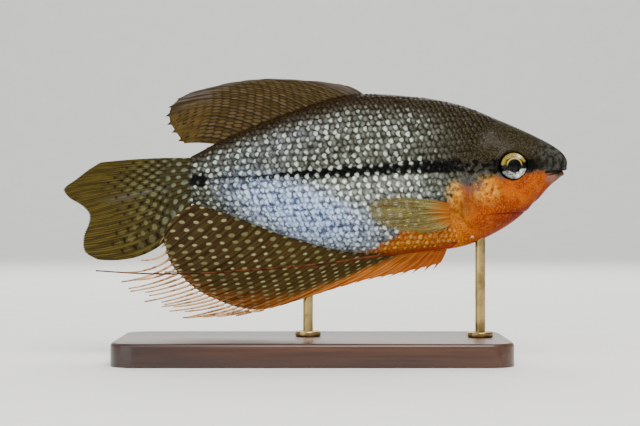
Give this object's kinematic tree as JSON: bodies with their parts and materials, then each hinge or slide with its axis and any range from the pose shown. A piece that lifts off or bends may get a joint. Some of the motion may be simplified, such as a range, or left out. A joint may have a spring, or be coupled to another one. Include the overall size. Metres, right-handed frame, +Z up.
{
  "type": "pearl gourami",
  "caption": "Adult male pearl gourami, life size, swimming level, held over a flat wooden base by slim brass rods.",
  "frame": {"origin": "on the surface that the base rests on, under the middle of the whole part", "axes": "+X from tail to snout, +Y to the fish's left, +Z up from the base to the dorsal fin"},
  "size_m": [0.1099, 0.04, 0.0608],
  "materials": {
    "head_skin": "moist skin, dark above and orange on the throat",
    "body_scales": "satin scales with pearl spots",
    "eye": "clear, wet gloss",
    "fin_membrane": "thin membrane with raised rays",
    "pelvic_thread": "satin",
    "wood": "dark satin varnish",
    "brass": "polished"
  },
  "bodies": {
    "root": {"head": "head_skin", "lower_jaw": "head_skin", "gill_cover_right": "head_skin", "gill_cover_left": "head_skin", "trunk": "body_scales", "tail": "body_scales", "eye_right": "eye", "eye_left": "eye", "dorsal_fin": "fin_membrane", "anal_fin": "fin_membrane", "caudal_fin": "fin_membrane", "pectoral_fin_right": "fin_membrane", "pectoral_fin_left": "fin_membrane", "pelvic_fin_right": "pelvic_thread", "pelvic_fin_left": "pelvic_thread", "stand_base": "wood", "stand_rod_front": "brass", "stand_rod_rear": "brass"}
  },
  "joints": []
}
